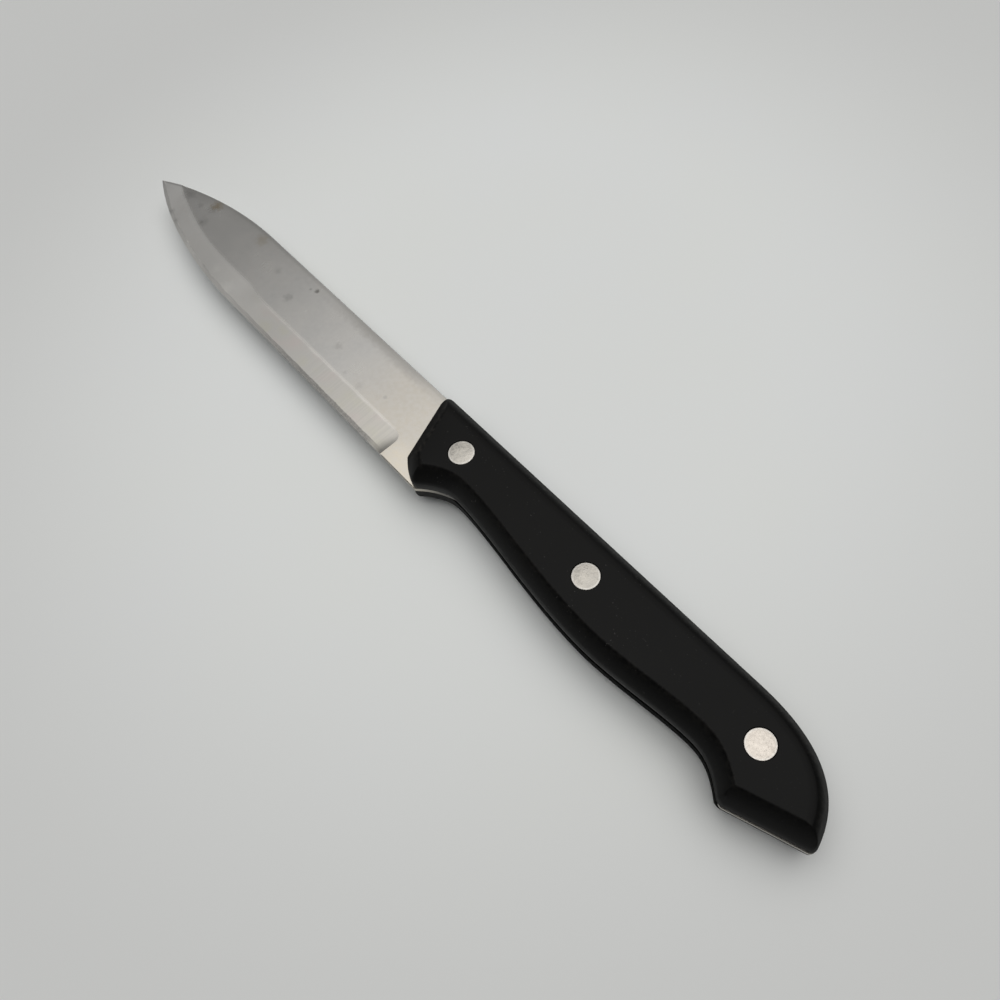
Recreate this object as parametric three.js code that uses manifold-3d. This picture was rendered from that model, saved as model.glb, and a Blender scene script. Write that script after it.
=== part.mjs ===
// A kitchen utility knife: a ground steel blade with a full tang, two moulded handle scales,
// and three two-piece compression rivets that clamp the scales to the tang.
// Millimetres. The knife lies on its side: +X runs from the tip to the butt, +Y towards the spine, +Z up.

import * as THREE from "three";
import { mergeVertices, toCreasedNormals } from "three/addons/utils/BufferGeometryUtils.js";
import Module from "manifold-3d";

const wasm = await Module();
wasm.setup();

// Setbacks and lengths are measured along the spine from the handle's front corner, and depths from the
// spine line. A pull is how far a curve keeps the direction it has at a knot. Angles are in degrees.

// Blade
const BLADE_LENGTH = 119.7;
const BLADE_HEIGHT = 20.8;
const STEEL_THICKNESS = 1.3;
const TIP_DEPTH = 9.9;
const SPINE_CURVE_LENGTH = 44.2;
const EDGE_CURVE_LENGTH = 54;
const EDGE_CURVE_PULL = 22;
const EDGE_TIP_PULL = 14;
const EDGE_TIP_ANGLE = 28;

// Grind: the wedge on each side of the blade, and the narrow honed bevel along the edge. The wedge narrows a
// little from the heel to a dip, widens before the edge starts to curve, and narrows again to the tip.
const GRIND_HEIGHT_HEEL = 6.6;
const GRIND_HEIGHT_DIP = 6.1;
const GRIND_HEIGHT_WIDE = 7.2;
const GRIND_HEIGHT_TIP = 6;
const GRIND_WIDENS_FROM = 59;
const GRIND_WIDENS_OVER = 8;
const GRIND_NARROWS_OVER = 30;
const GRIND_EDGE_THICKNESS = 0.4;
const RICASSO_LENGTH = 12.8;
const PLUNGE_RADIUS = 2;
const HONE_HEIGHT = 1.1;
const HONE_GAP_TO_PLUNGE = 3.6;
const EDGE_THICKNESS = 0.06;

// Handle outline
const HANDLE_LENGTH = 121.2;
const FRONT_RAKE = 6.6;
const FRONT_DEPTH = 17.2;
const HEEL_SETBACK = 12.7;
const HEEL_ANGLE_FRONT = -42;
const HEEL_ANGLE_REAR = -19;
const HEEL_PULL = 2.4;
const GUARD_ANGLE = 43;
const GUARD_PULL = 4.5;
const CHOIL_SETBACK = 22.3;
const CHOIL_DEPTH = 16;
const CHOIL_PULL_FRONT = 3.1;
const CHOIL_PULL_REAR = 11.4;
const SWELL_SETBACK = 65.2;
const SWELL_DEPTH = 19.6;
const SWELL_PULL_FRONT = 16.5;
const SWELL_PULL_REAR = 9.5;
const WAIST_FROM_BUTT = 28;
const WAIST_DEPTH = 17.1;
const WAIST_PULL_FRONT = 7.5;
const WAIST_PULL_REAR = 4.4;
const HOOK_FROM_BUTT = 17.2;
const HOOK_DEPTH = 22;
const HOOK_ANGLE = -40;
const HOOK_PULL = 4.6;
const BUTT_DEPTH = 15.9;
const BUTT_ANGLE = 103.3;
const BUTT_PULL = 8.6;
const BACK_CURVE_LENGTH = 26;
const BACK_PULL = 18.2;

// Corners of the outline at the parting plane, and the least radius that they keep further up
const FRONT_TOP_RADIUS = 2.1;
const FRONT_FOOT_RADIUS = 2;
const HEEL_RADIUS = 1.6;
const HOOK_RADIUS = 1.8;
const BUTT_TIP_RADIUS = 1;
const MITRE_RADIUS = 0.3;

// Scales. Each side stands plain for its wall, then draws in by its width: by its draft along a straight
// slope, and by the rest along part of an ellipse that is crease times as tall as the side needs. At 1 the
// ellipse runs smoothly into the flat face, above 1 it meets the face at a crease.
const SCALE_THICKNESS = 6.5;
const SIDE_FORM = {
  belly: { wall: 2.5, width: 3, draft: 2.1, crease: 1.1 },
  butt: { wall: 1.6, width: 3.4, draft: 2.2, crease: 1.15 },
  back: { wall: 0.9, width: 4, draft: 0, crease: 1 },
  front: { wall: 2.4, width: 3.75, draft: 2.2, crease: 1.15 },
  heel: { wall: 2.8, width: 3.5, draft: 2, crease: 1.12 },
};

// Tang: level with the scales at the guard and the back, a little proud of them at the butt, and set in along
// the belly from the end of the guard to the hook
const TANG_RECESS = 0.4;
const TANG_RECESS_RUN = 13;
const TANG_PROUD = 0.15;

// Rivets: a solid post pressed into a hollow socket, each with a flat head let into its scale
const FRONT_RIVET = { setback: 16.8, depth: 8.9 };
const MIDDLE_RIVET = { setback: 57, depth: 9.6 };
const REAR_RIVET = { fromButt: 18.7, depth: 9.65 };
const HEAD_DIAMETER = 6;
const HEAD_THICKNESS = 1.5;
const HEAD_RECESS = 0.05;
const HEAD_CLEARANCE = 0.1;
const SOCKET_DIAMETER = 4;
const SOCKET_FLOOR = 1;
const SHANK_CLEARANCE = 0.15;
const POST_DIAMETER = 2.6;
const POST_CLEARANCE = 0.05;
const RIVET_END_GAP = 0.4;

// Fineness of the curved surfaces
const ROUND_STEPS = 32;
const CURVE_STEPS = 9;
const CORNER_STEPS = 4;
const SCALE_LEVELS = 9;
const EDGE_STEPS = 16;
const STATION_SPACING = 4;
const CROSSING_STEPS = 8;
const SHADING_CREASE = THREE.MathUtils.degToRad(20);

// How far cutting solids reach past what they cut
const CUT_MARGIN = 1;

// Solids

function solid(geometry) {
  const bare = geometry.clone();
  bare.deleteAttribute("normal");
  bare.deleteAttribute("uv");
  const merged = mergeVertices(bare);
  const vertProperties = merged.attributes.position.array;
  const triVerts = Uint32Array.from(merged.index.array);
  return new wasm.Manifold(new wasm.Mesh({ numProp: 3, vertProperties, triVerts }));
}

function surface(manifold) {
  const { vertProperties, triVerts } = manifold.getMesh();
  const geometry = new THREE.BufferGeometry();
  geometry.setAttribute("position", new THREE.BufferAttribute(vertProperties, 3));
  geometry.setIndex(new THREE.BufferAttribute(triVerts, 1));
  return geometry;
}

// Closed surface through rings of equal count, each ring counter-clockwise seen from the last ring's side.
// The caps are filled in the plane that flatten gives.
function loft(rings, flatten) {
  const count = rings[0].length;
  const cap = THREE.ShapeUtils.triangulateShape(rings[0].map(flatten), []);
  const last = (rings.length - 1) * count;
  const index = [];
  for (const [a, b, c] of cap) {
    index.push(c, b, a, last + a, last + b, last + c);
  }
  for (let base = 0; base < last; base += count) {
    for (let i = 0; i < count; i++) {
      const next = (i + 1) % count;
      index.push(base + i, base + next, base + count + next);
      index.push(base + i, base + count + next, base + count + i);
    }
  }
  const geometry = new THREE.BufferGeometry().setFromPoints(rings.flat());
  geometry.setIndex(index);
  return geometry;
}

// The mirror image through the plane z = 0, with its faces turned outwards again.
function mirrored(geometry) {
  const image = geometry.clone().scale(1, 1, -1);
  const index = image.index.array;
  for (let i = 0; i < index.length; i += 3) {
    [index[i], index[i + 1]] = [index[i + 1], index[i]];
  }
  return image;
}

// A turned solid about +Z from points [radius, height], listed upwards along the outside.
function turned(profile) {
  const points = profile.map(([radius, height]) => new THREE.Vector2(radius, height));
  return new THREE.LatheGeometry(points, ROUND_STEPS).rotateX(Math.PI / 2);
}

// Handle outline, counter-clockwise from the heel: belly, butt, back, front and the slope at the heel

function knot(setback, depth) {
  return new THREE.Vector2(setback, -depth);
}

function heading(angle, length) {
  const radians = THREE.MathUtils.degToRad(angle);
  return new THREE.Vector2(Math.cos(radians), Math.sin(radians)).multiplyScalar(length);
}

// A curve that leaves start at one angle and arrives at end at another.
function sweep(start, startAngle, startPull, end, endAngle, endPull) {
  const leave = start.clone().add(heading(startAngle, startPull));
  const arrive = end.clone().sub(heading(endAngle, endPull));
  return new THREE.CubicBezierCurve(start, leave, arrive, end);
}

const frontTop = knot(0, 0);
const frontFoot = knot(FRONT_RAKE, FRONT_DEPTH);
const heel = knot(HEEL_SETBACK, BLADE_HEIGHT);
const choil = knot(CHOIL_SETBACK, CHOIL_DEPTH);
const swell = knot(SWELL_SETBACK, SWELL_DEPTH);
const waist = knot(HANDLE_LENGTH - WAIST_FROM_BUTT, WAIST_DEPTH);
const hook = knot(HANDLE_LENGTH - HOOK_FROM_BUTT, HOOK_DEPTH);
const buttTip = knot(HANDLE_LENGTH, BUTT_DEPTH);
const backTop = knot(HANDLE_LENGTH - BACK_CURVE_LENGTH, 0);

// A side of the outline, its form, the rounding at its end, and the places along it that get a point.
function side(name, endRadius, curves) {
  const path = new THREE.CurvePath();
  curves.forEach((curve) => path.add(curve));
  const length = path.getLength();
  const ends = path.getCurveLengths();
  const stops = [];
  curves.forEach((curve, i) => {
    const from = i ? ends[i - 1] : 0;
    const steps = curve.isLineCurve ? 1 : CURVE_STEPS;
    for (let step = 0; step < steps; step++) {
      stops.push((from + ((ends[i] - from) * step) / steps) / length);
    }
  });
  return { name, path, length, endRadius, stops: [...stops, 1], form: SIDE_FORM[name] };
}

const SIDES = [
  side("belly", HOOK_RADIUS, [
    sweep(heel, GUARD_ANGLE, GUARD_PULL, choil, 0, CHOIL_PULL_FRONT),
    sweep(choil, 0, CHOIL_PULL_REAR, swell, 0, SWELL_PULL_FRONT),
    sweep(swell, 0, SWELL_PULL_REAR, waist, 0, WAIST_PULL_FRONT),
    sweep(waist, 0, WAIST_PULL_REAR, hook, HOOK_ANGLE, HOOK_PULL),
  ]),
  side("butt", BUTT_TIP_RADIUS, [new THREE.LineCurve(hook, buttTip)]),
  side("back", FRONT_TOP_RADIUS, [
    sweep(buttTip, BUTT_ANGLE, BUTT_PULL, backTop, 180, BACK_PULL),
    new THREE.LineCurve(backTop, frontTop),
  ]),
  side("front", FRONT_FOOT_RADIUS, [new THREE.LineCurve(frontTop, frontFoot)]),
  side("heel", HEEL_RADIUS, [
    sweep(frontFoot, HEEL_ANGLE_FRONT, HEEL_PULL, heel, HEEL_ANGLE_REAR, HEEL_PULL),
  ]),
];

// Directions and points at a share of a side's length, which runs on straight past its ends.

function along({ path }, at) {
  return path.getTangent(THREE.MathUtils.clamp(at, 0, 1));
}

function outward(current, at) {
  const { x, y } = along(current, at);
  return new THREE.Vector2(y, -x);
}

function insetPoint(current, at, inset) {
  const onSide = THREE.MathUtils.clamp(at, 0, 1);
  const past = (at - onSide) * current.length;
  const point = current.path.getPoint(onSide).addScaledVector(along(current, at), past);
  return point.addScaledVector(outward(current, at), -inset);
}

// Where two neighbouring sides cross once each has moved inwards, found by Newton steps along both.
function crossing(before, after, insetBefore, insetAfter) {
  let end = 1;
  let start = 0;
  for (let step = 0; step < CROSSING_STEPS; step++) {
    const from = insetPoint(before, end, insetBefore);
    const gap = insetPoint(after, start, insetAfter).sub(from);
    const spread = along(before, end).cross(along(after, start));
    const stepBack = gap.cross(along(after, start)) / spread;
    const stepAhead = gap.cross(along(before, end)) / spread;
    end += stepBack / before.length;
    start += stepAhead / after.length;
  }
  return { end, start, centre: insetPoint(before, end, insetBefore) };
}

// The rounded corner between two sides, with the places where it leaves the one and joins the other.
function corner(before, after, insetBefore, insetAfter) {
  const reachBefore = Math.max(before.endRadius, insetBefore + MITRE_RADIUS);
  const reachAfter = Math.max(before.endRadius, insetAfter + MITRE_RADIUS);
  const { end, start, centre } = crossing(before, after, reachBefore, reachAfter);
  const first = outward(before, end);
  const turn = outward(after, start).angle() - first.angle();
  const sweepAngle = THREE.MathUtils.euclideanModulo(turn, 2 * Math.PI);
  const points = [];
  for (let step = 0; step <= CORNER_STEPS; step++) {
    const share = step / CORNER_STEPS;
    const radius = THREE.MathUtils.lerp(reachBefore - insetBefore, reachAfter - insetAfter, share);
    const spoke = first.clone().rotateAround(new THREE.Vector2(), sweepAngle * share);
    points.push(centre.clone().addScaledVector(spoke, radius));
  }
  return { end, start, points };
}

// The outline as runs of points, side and corner in turn. insetOf gives a side's inset at a place along it.
function outlineRuns(insetOf) {
  const corners = SIDES.map((before, i) => {
    const after = SIDES[(i + 1) % SIDES.length];
    return corner(before, after, insetOf(before, 1), insetOf(after, 0));
  });
  return SIDES.flatMap((current, i) => {
    const { start } = corners.at(i - 1);
    const { end, points } = corners[i];
    const inner = current.stops.slice(1, -1).map((stop) => {
      const at = THREE.MathUtils.lerp(start, end, stop);
      return insetPoint(current, at, insetOf(current, stop));
    });
    return [inner, points];
  });
}

// Scales

// How far a side has drawn in at a height above the parting plane.
function drawnIn({ wall, width, draft, crease }, height) {
  const rise = Math.max(0, height - wall) / (SCALE_THICKNESS - wall);
  const ellipseWidth = (width - draft) / (1 - Math.sqrt(1 - 1 / crease ** 2));
  return draft * rise + ellipseWidth * (1 - Math.sqrt(1 - (rise / crease) ** 2));
}

const RIVETS = {
  front: knot(FRONT_RIVET.setback, FRONT_RIVET.depth),
  middle: knot(MIDDLE_RIVET.setback, MIDDLE_RIVET.depth),
  rear: knot(HANDLE_LENGTH - REAR_RIVET.fromButt, REAR_RIVET.depth),
};

const headRadius = HEAD_DIAMETER / 2;
const socketRadius = SOCKET_DIAMETER / 2;
const postRadius = POST_DIAMETER / 2;
const shankHoleRadius = socketRadius + SHANK_CLEARANCE;
const seatDepth = HEAD_RECESS + HEAD_THICKNESS;

// The stepped hole for one rivet: the shank's bore, and the seat for the head below the face.
function rivetHole(centre) {
  const seat = SCALE_THICKNESS - seatDepth;
  const top = SCALE_THICKNESS + CUT_MARGIN;
  const seatRadius = headRadius + HEAD_CLEARANCE;
  const profile = [
    [0, -CUT_MARGIN],
    [shankHoleRadius, -CUT_MARGIN],
    [shankHoleRadius, seat],
    [seatRadius, seat],
    [seatRadius, top],
    [0, top],
  ];
  return turned(profile).translate(centre.x, centre.y, 0);
}

// One scale above its parting plane at z = 0, flat face up.
function scaleGeometry() {
  const rings = [];
  for (let level = 0; level <= SCALE_LEVELS; level++) {
    const height = SCALE_THICKNESS * Math.sin(((level / SCALE_LEVELS) * Math.PI) / 2);
    const outline = outlineRuns(({ form }) => drawnIn(form, height)).flat();
    rings.push(outline.map(({ x, y }) => new THREE.Vector3(x, y, height)));
  }
  let body = solid(loft(rings, ({ x, y }) => new THREE.Vector2(x, y)));
  for (const centre of Object.values(RIVETS)) {
    body = body.subtract(solid(rivetHole(centre)));
  }
  return surface(body);
}

// Blade and tang

const tip = knot(-BLADE_LENGTH, TIP_DEPTH);
const edgeStart = knot(EDGE_CURVE_LENGTH - BLADE_LENGTH, BLADE_HEIGHT);
const edgeCurve = sweep(edgeStart, 180, EDGE_CURVE_PULL, tip, 180 - EDGE_TIP_ANGLE, EDGE_TIP_PULL);

// The spine falls to the tip on an arc that leaves the straight spine smoothly.
function spineCurve() {
  const start = SPINE_CURVE_LENGTH - BLADE_LENGTH;
  const radius = (SPINE_CURVE_LENGTH ** 2 + TIP_DEPTH ** 2) / (2 * TIP_DEPTH);
  const turn = Math.asin(SPINE_CURVE_LENGTH / radius);
  return new THREE.EllipseCurve(start, -radius, radius, radius, Math.PI / 2, Math.PI / 2 + turn);
}

// The tang's inset, which along the belly fades out towards the guard.
function tangInset({ name, length }, at) {
  if (name === "belly") {
    return TANG_RECESS * THREE.MathUtils.smoothstep(at * length, TANG_RECESS_RUN / 2, TANG_RECESS_RUN);
  }
  return name === "butt" ? -TANG_PROUD : 0;
}

// The runs of the outline that the tang follows: belly, hook, butt, butt tip and back
const TANG_RUNS = 5;

// The stamped blank: tip, edge, heel, the tang round to the spine, and back to the tip.
function blankGeometry() {
  const tang = outlineRuns(tangInset).slice(0, TANG_RUNS).flat();
  const edge = edgeCurve.getPoints(EDGE_STEPS).reverse();
  const spine = spineCurve().getPoints(EDGE_STEPS).slice(0, -1);
  const blank = new THREE.Shape([...edge, heel, ...tang, ...spine]);
  for (const { x, y } of Object.values(RIVETS)) {
    blank.holes.push(new THREE.Path().absarc(x, y, shankHoleRadius, 0, 2 * Math.PI));
  }
  const options = { depth: STEEL_THICKNESS, bevelEnabled: false, curveSegments: ROUND_STEPS / 2 };
  return new THREE.ExtrudeGeometry(blank, options).translate(0, 0, -STEEL_THICKNESS / 2);
}

// Height of the grind's shoulder above the edge.
function grindHeight(x) {
  const dipped = THREE.MathUtils.clamp(-x / GRIND_WIDENS_FROM, 0, 1);
  const widened = THREE.MathUtils.smoothstep(-x, GRIND_WIDENS_FROM, GRIND_WIDENS_FROM + GRIND_WIDENS_OVER);
  const narrowed = THREE.MathUtils.smoothstep(edgeStart.x - x, 0, GRIND_NARROWS_OVER);
  const straight = THREE.MathUtils.lerp(GRIND_HEIGHT_HEEL, GRIND_HEIGHT_DIP, dipped);
  const wide = THREE.MathUtils.lerp(straight, GRIND_HEIGHT_WIDE, widened);
  return THREE.MathUtils.lerp(wide, GRIND_HEIGHT_TIP, narrowed);
}

// Half the steel's thickness that the grind leaves at a height above the edge.
function groundHalf(x, height) {
  return THREE.MathUtils.lerp(GRIND_EDGE_THICKNESS, STEEL_THICKNESS, height / grindHeight(x)) / 2;
}

// Points along the edge from a place near the handle to just past the tip.
function edgeStations(from) {
  const steps = Math.ceil((from - edgeStart.x) / STATION_SPACING);
  const stations = [];
  for (let step = 0; step < steps; step++) {
    stations.push(new THREE.Vector2(THREE.MathUtils.lerp(from, edgeStart.x, step / steps), edgeStart.y));
  }
  stations.push(...edgeCurve.getPoints(EDGE_STEPS));
  const past = edgeCurve.getTangent(1).multiplyScalar(CUT_MARGIN).add(tip);
  return [...stations, past];
}

// What a grinding pass takes from the blade's upper side: at each station it keeps the steel below the line
// from the half thickness at the shoulder to that at the edge.
function pass(stations, shoulderOf, halfAt) {
  const top = STEEL_THICKNESS / 2 + CUT_MARGIN;
  const rings = stations.map(({ x, y }) => {
    const shoulder = shoulderOf(x);
    return [
      new THREE.Vector3(x, y + shoulder, halfAt(x, shoulder)),
      new THREE.Vector3(x, y - CUT_MARGIN, halfAt(x, -CUT_MARGIN)),
      new THREE.Vector3(x, y - CUT_MARGIN, top),
      new THREE.Vector3(x, y + shoulder, top),
    ];
  });
  return loft(rings, ({ y, z }) => new THREE.Vector2(-y, z));
}

const plunge = HEEL_SETBACK - RICASSO_LENGTH;

// The wide grind, whose shoulder turns down to the edge in a rounded plunge.
function grindPass() {
  const stations = edgeStations(plunge - PLUNGE_RADIUS);
  for (let step = 1; step <= CORNER_STEPS; step++) {
    const turn = ((step / CORNER_STEPS) * Math.PI) / 2;
    const x = plunge - PLUNGE_RADIUS * (1 - Math.sin(turn));
    stations.unshift(new THREE.Vector2(x, edgeStart.y));
  }
  const shoulderOf = (x) => {
    const into = Math.max(0, x - plunge + PLUNGE_RADIUS);
    return grindHeight(x) - PLUNGE_RADIUS + Math.sqrt(Math.max(0, PLUNGE_RADIUS ** 2 - into ** 2));
  };
  return pass(stations, shoulderOf, groundHalf);
}

// The honed bevel, from the ground steel at its own shoulder down to the cutting edge.
function honePass() {
  const honedHalf = (x, height) => {
    return THREE.MathUtils.lerp(EDGE_THICKNESS / 2, groundHalf(x, HONE_HEIGHT), height / HONE_HEIGHT);
  };
  return pass(edgeStations(plunge - HONE_GAP_TO_PLUNGE), () => HONE_HEIGHT, honedHalf);
}

function bladeGeometry() {
  let body = solid(blankGeometry());
  for (const cut of [grindPass(), honePass()]) {
    body = body.subtract(solid(cut)).subtract(solid(mirrored(cut)));
  }
  return surface(body);
}

// Rivets, both halves standing with the lower scale's face at z = 0

const handleThickness = 2 * SCALE_THICKNESS + STEEL_THICKNESS;
const postSeat = handleThickness - seatDepth;
const boreFloor = seatDepth + SOCKET_FLOOR;

function socketGeometry() {
  const boreRadius = postRadius + POST_CLEARANCE;
  const mouth = postSeat - RIVET_END_GAP;
  return turned([
    [0, HEAD_RECESS],
    [headRadius, HEAD_RECESS],
    [headRadius, seatDepth],
    [socketRadius, seatDepth],
    [socketRadius, mouth],
    [boreRadius, mouth],
    [boreRadius, boreFloor],
    [0, boreFloor],
  ]);
}

function postGeometry() {
  const end = boreFloor + RIVET_END_GAP;
  return turned([
    [0, end],
    [postRadius, end],
    [postRadius, postSeat],
    [headRadius, postSeat],
    [headRadius, handleThickness - HEAD_RECESS],
    [0, handleThickness - HEAD_RECESS],
  ]);
}

// Assembly

function steel() {
  return new THREE.MeshStandardMaterial({ color: 0xb8b5ad, roughness: 0.38, metalness: 1 });
}

function blackPlastic() {
  return new THREE.MeshStandardMaterial({ color: 0x1b1b1c, roughness: 0.55, metalness: 0 });
}

function rivetMetal() {
  return new THREE.MeshStandardMaterial({ color: 0xcdc8bd, roughness: 0.5, metalness: 1 });
}

const knife = new THREE.Group();

function addPiece(name, geometry, material, x, y, z) {
  const piece = new THREE.Mesh(toCreasedNormals(geometry, SHADING_CREASE), material);
  piece.name = name;
  piece.position.set(x, y, z);
  knife.add(piece);
}

const scale = scaleGeometry();
addPiece("blade", bladeGeometry(), steel(), 0, 0, handleThickness / 2);
addPiece("upper_scale", scale, blackPlastic(), 0, 0, handleThickness - SCALE_THICKNESS);
addPiece("lower_scale", mirrored(scale), blackPlastic(), 0, 0, SCALE_THICKNESS);
for (const [place, { x, y }] of Object.entries(RIVETS)) {
  addPiece(place + "_rivet_post", postGeometry(), rivetMetal(), x, y, 0);
  addPiece(place + "_rivet_socket", socketGeometry(), rivetMetal(), x, y, 0);
}

// The origin is the middle of the box round the knife, on the surface that it lies on.
const box = new THREE.Box3().setFromObject(knife);
const middle = box.getCenter(new THREE.Vector3());
knife.position.set(-middle.x, -middle.y, -box.min.z);

export default knife;
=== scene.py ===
# %% [markdown]
# # A kitchen utility knife
# The knife lies on its side on a pale table. A slim steel blade runs right through the handle as a full
# tang, two moulded black scales form the grip, and three rivets clamp the scales to the steel. The packed
# model gives every node its place and size, so each piece below is drawn in the same frame and stands
# exactly where its node stands.

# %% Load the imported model
import math

import bmesh
import bpy
import numpy as np
from mathutils import Euler, Matrix, Vector
from mathutils.geometry import interpolate_bezier


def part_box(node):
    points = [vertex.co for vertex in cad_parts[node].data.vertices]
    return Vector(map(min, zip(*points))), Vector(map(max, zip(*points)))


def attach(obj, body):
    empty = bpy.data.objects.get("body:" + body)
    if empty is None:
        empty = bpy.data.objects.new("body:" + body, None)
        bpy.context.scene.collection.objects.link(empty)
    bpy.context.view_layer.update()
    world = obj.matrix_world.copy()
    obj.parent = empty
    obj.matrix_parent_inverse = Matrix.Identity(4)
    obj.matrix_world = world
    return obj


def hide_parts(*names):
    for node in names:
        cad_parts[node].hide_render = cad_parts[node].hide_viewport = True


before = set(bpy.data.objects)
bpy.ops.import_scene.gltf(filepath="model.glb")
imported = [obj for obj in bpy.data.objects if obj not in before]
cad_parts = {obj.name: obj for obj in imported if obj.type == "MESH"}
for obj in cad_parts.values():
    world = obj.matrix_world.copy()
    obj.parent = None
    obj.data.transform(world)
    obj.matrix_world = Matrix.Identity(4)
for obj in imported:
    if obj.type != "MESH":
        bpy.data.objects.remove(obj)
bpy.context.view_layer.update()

print("nodes:", ", ".join(sorted(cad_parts)))

# %% [markdown]
# ## The camera
# The picture looks down on the knife from beyond the butt, from the cutting-edge side. The round rivet
# heads show as ellipses, and their shapes give the viewing angle. The camera is made first.

# %% Camera
CAMERA_PLACE = (0.11085, -0.04425, 0.18273)
CAMERA_TURN = (27.798, 6.471, 48.746)
LENS = 32.4
NEAREST = 0.01

camera = bpy.data.objects.new("camera", bpy.data.cameras.new("camera"))
camera.location = CAMERA_PLACE
camera.rotation_euler = Euler([math.radians(turn) for turn in CAMERA_TURN])
camera.data.lens = LENS
camera.data.clip_start = NEAREST
scene = bpy.context.scene
scene.collection.objects.link(camera)
scene.camera = camera
scene.view_settings.view_transform = "Standard"
print("camera at", CAMERA_PLACE)

# %% [markdown]
# ## Shader values
# A material is easier to read as arithmetic than as wires. `Value` wraps one socket, and an expression on
# values adds the Math nodes that work it out. `Finish` is one material, and its `node` method adds every
# other node: settings first, then what goes into the sockets. All patterns are sized in millimetres of the
# object's own coordinates.

# %% Values
class Value:
    """A socket of a material that can be used in expressions."""

    def __init__(self, finish, socket):
        self.finish = finish
        self.socket = socket

    def math(self, operation, *terms):
        return self.finish.node("Math", {"operation": operation}, dict(enumerate(terms)))

    def __add__(self, other):
        return self.math("ADD", self, other)

    def __sub__(self, other):
        return self.math("SUBTRACT", self, other)

    def __rsub__(self, other):
        return self.math("SUBTRACT", other, self)

    def __mul__(self, other):
        return self.math("MULTIPLY", self, other)

    def __pow__(self, power):
        return self.math("POWER", self, power)

    def __abs__(self):
        return self.math("ABSOLUTE", self)

    __radd__ = __add__
    __rmul__ = __mul__

    def positive(self):
        return self.math("MAXIMUM", self, 0)

    def rise(self, low, high):
        """Goes smoothly from 0 at `low` to 1 at `high`."""
        settings = {"interpolation_type": "SMOOTHSTEP"}
        return self.finish.node("MapRange", settings, {"Value": self, "From Min": low, "From Max": high})


print("Value: a socket that takes part in sums")

# %% Finishes
MM = 0.001


class Finish:
    """One node material. Constants are set on the shader, and `feed` links what varies."""

    def __init__(self, name, **constants):
        self.material = bpy.data.materials.new(name)
        self.material.use_nodes = True
        self.tree = self.material.node_tree
        self.shader = self.tree.nodes["Principled BSDF"]
        for socket, value in constants.items():
            self.shader.inputs[socket.replace("_", " ")].default_value = value
        place = self.node("TexCoord", out="Object")
        self.place = self.vector("SCALE", place, {"Scale": 1 / MM})

    def node(self, kind, settings=(), sockets=(), out=None):
        node = self.tree.nodes.new("ShaderNode" + kind)
        for name, value in dict(settings).items():
            setattr(node, name, value)
        inputs = [socket for socket in node.inputs if not socket.is_unavailable]
        for key, value in dict(sockets).items():
            socket = inputs[key] if isinstance(key, int) else next(i for i in inputs if i.name == key)
            self.feed(socket, value)
        outputs = [socket for socket in node.outputs if not socket.is_unavailable]
        return Value(self, outputs[0] if out is None else node.outputs[out])

    def feed(self, socket, value):
        if isinstance(socket, str):
            socket = self.shader.inputs[socket]
        if isinstance(value, Value):
            self.tree.links.new(value.socket, socket)
        else:
            socket.default_value = value

    def vector(self, operation, first, sockets=(), out="Vector"):
        return self.node("VectorMath", {"operation": operation}, {0: first, **dict(sockets)}, out)

    def part(self, vector, axis):
        return self.node("SeparateXYZ", sockets={0: vector}, out=axis)

    def noise(self, size, detail=2, roughness=0.5, place=None, stretch=(1, 1, 1)):
        """Cloudy pattern from 0 to 1 with features of about `size` millimetres, drawn out by `stretch`."""
        scale = [1 / (size * factor) for factor in stretch]
        place = self.vector("MULTIPLY", place or self.place, {1: scale})
        sockets = {"Vector": place, "Scale": 1, "Detail": detail, "Roughness": roughness}
        return self.node("TexNoise", sockets=sockets)

    def colour(self, factor, low, high):
        return self.node("Mix", {"data_type": "RGBA"}, {"Factor": factor, "A": low, "B": high})

    def layers(self, tone, *coats):
        """Lays coats over a tone in turn, each given as its mask, its strength and its own tone."""
        for mask, strength, coat in coats:
            tone = self.colour(mask * strength, tone, coat)
        return tone

    def bump(self, height, depth):
        """Small relief: `height` from 0 to 1 stands up to `depth` millimetres."""
        return self.node("Bump", sockets={"Strength": 1, "Distance": depth * MM, "Height": height})


print("Finish: a material whose patterns are sized in millimetres")

# %% Greys
BEIGE = (0.3, -0.2, -1.0)


def grey(level, warmth=0.0):
    """A linear grey that leans to beige for a positive `warmth`."""
    return (*(level * (1 + lean * warmth) for lean in BEIGE), 1)


print("a warm grey:", [round(part, 3) for part in grey(0.5, 0.1)])

# %% [markdown]
# ## The table and the light
# The knife lies on a plain light table. Its shadow is short and soft, which tells of one broad light
# overhead that leans a little over the spine, and the flat of the blade fades towards the tip because there
# it mirrors the dim surround below that light. A few lamps would give hard reflections, so the light is
# painted on the surround: a wide soft disc, brightest over the knife, and a faint glow low down beyond the
# tip, which the front of the handle mirrors.

# %% Table
TABLE_SIZE = 3.0
TABLE_GAP = 0.00004
TABLE_MIDDLE = (-10, 40, 0)
TABLE_FADES = (60, 180)
TABLE_COOL = (0.87, 0.888, 0.905, 1)
TABLE_WARM = (0.872, 0.888, 0.865, 1)
TABLE_FAR_SHADE = (0.724, 0.731, 0.729, 1)

table_finish = Finish("pale_table", Specular_IOR_Level=0.1)
table_tone = table_finish.colour(table_finish.noise(60), TABLE_COOL, TABLE_WARM)
# The table is painted darker away from its middle: a painted falloff of the light, not a change in the table.
from_middle = table_finish.vector("DISTANCE", table_finish.place, {1: TABLE_MIDDLE}, out="Value")
table_tone = table_finish.colour(from_middle.rise(*TABLE_FADES), table_tone, TABLE_FAR_SHADE)
table_finish.feed("Base Color", table_tone)
table_finish.feed("Roughness", 0.55 + 0.1 * table_finish.noise(2.5))

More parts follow.
